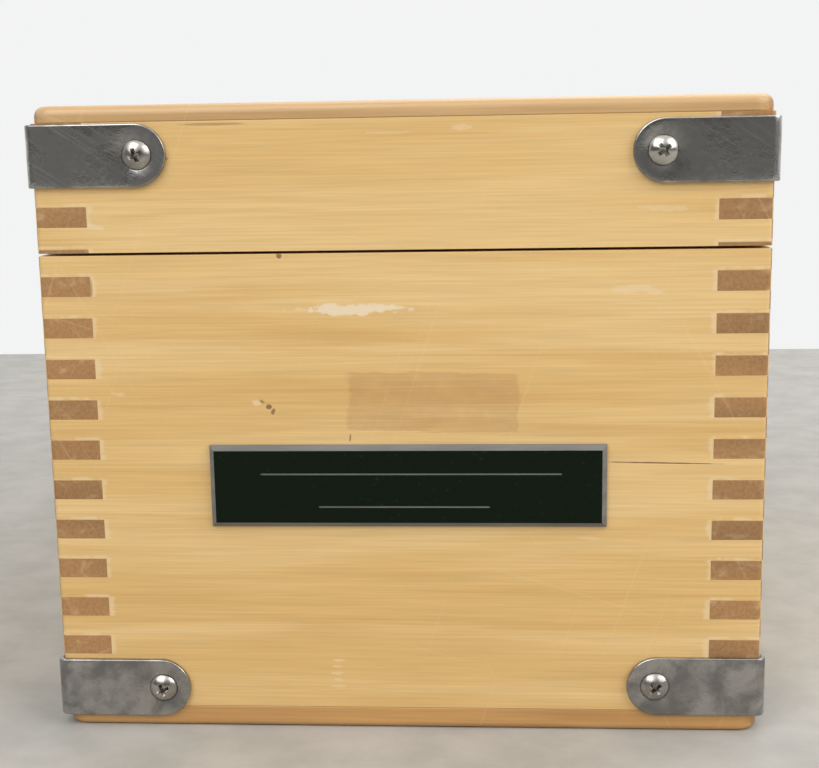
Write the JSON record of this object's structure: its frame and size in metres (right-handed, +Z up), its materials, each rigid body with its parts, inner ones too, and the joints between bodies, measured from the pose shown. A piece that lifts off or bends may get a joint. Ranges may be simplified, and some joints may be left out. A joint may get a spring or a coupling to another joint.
{
  "type": "wooden instrument case",
  "caption": "Finger-jointed wooden tool case with a hinged lid, plated corner brackets, a bevelled label plate, a swing hook and a divided inside for a pair of workholding blocks.",
  "frame": {"origin": "centre of the underside of the bottom panel, on the surface the case stands on", "axes": "+Z up, labelled end faces -Y, hinges on +X, hook on -X"},
  "size_m": [0.1476, 0.1844, 0.1231],
  "materials": {
    "board_wood": "clear lacquer",
    "panel_wood": "clear lacquer",
    "inner_wood": "bare",
    "bracket_nickel": "nickel plated",
    "screw_steel": "nickel plated",
    "hinge_steel": "nickel plated",
    "latch_steel": "nickel plated",
    "plate_laminate": "satin engraving laminate"
  },
  "bodies": {
    "base": {"base_front_board": "board_wood", "base_rear_board": "board_wood", "base_left_board": "board_wood", "base_right_board": "board_wood", "bottom_panel": "panel_wood", "centre_divider": "inner_wood", "left_packer": "inner_wood", "right_packer": "inner_wood", "name_plate": "plate_laminate", "base_corner_bracket_front_left": "bracket_nickel", "base_corner_bracket_front_right": "bracket_nickel", "base_corner_bracket_rear_right": "bracket_nickel", "base_corner_bracket_rear_left": "bracket_nickel", "base_bracket_screws": "screw_steel", "base_hinge_leaf_front": "hinge_steel", "base_hinge_leaf_rear": "hinge_steel", "hinge_pin_front": "hinge_steel", "hinge_pin_rear": "hinge_steel", "base_hinge_screws": "screw_steel", "latch_washer": "latch_steel", "latch_pivot_screw": "screw_steel"},
    "lid": {"lid_front_board": "board_wood", "lid_rear_board": "board_wood", "lid_left_board": "board_wood", "lid_right_board": "board_wood", "top_panel": "panel_wood", "lid_corner_bracket_front_left": "bracket_nickel", "lid_corner_bracket_front_right": "bracket_nickel", "lid_corner_bracket_rear_right": "bracket_nickel", "lid_corner_bracket_rear_left": "bracket_nickel", "lid_bracket_screws": "screw_steel", "lid_hinge_leaf_front": "hinge_steel", "lid_hinge_leaf_rear": "hinge_steel", "lid_hinge_screws": "screw_steel", "latch_keeper_stud": "screw_steel"},
    "hook": {"latch_hook": "latch_steel"}
  },
  "joints": [
    {"name": "lid_hinge", "type": "hinge", "parent": "base", "child": "lid", "pos_m": [0.0718, 0, 0.09525], "axis": [0, 1, 0], "range_deg": [0, 180]},
    {"name": "hook_swing", "type": "hinge", "parent": "base", "child": "hook", "pos_m": [-0.0692, 0, 0.083], "axis": [1, 0, 0], "range_deg": [0, 180]}
  ]
}
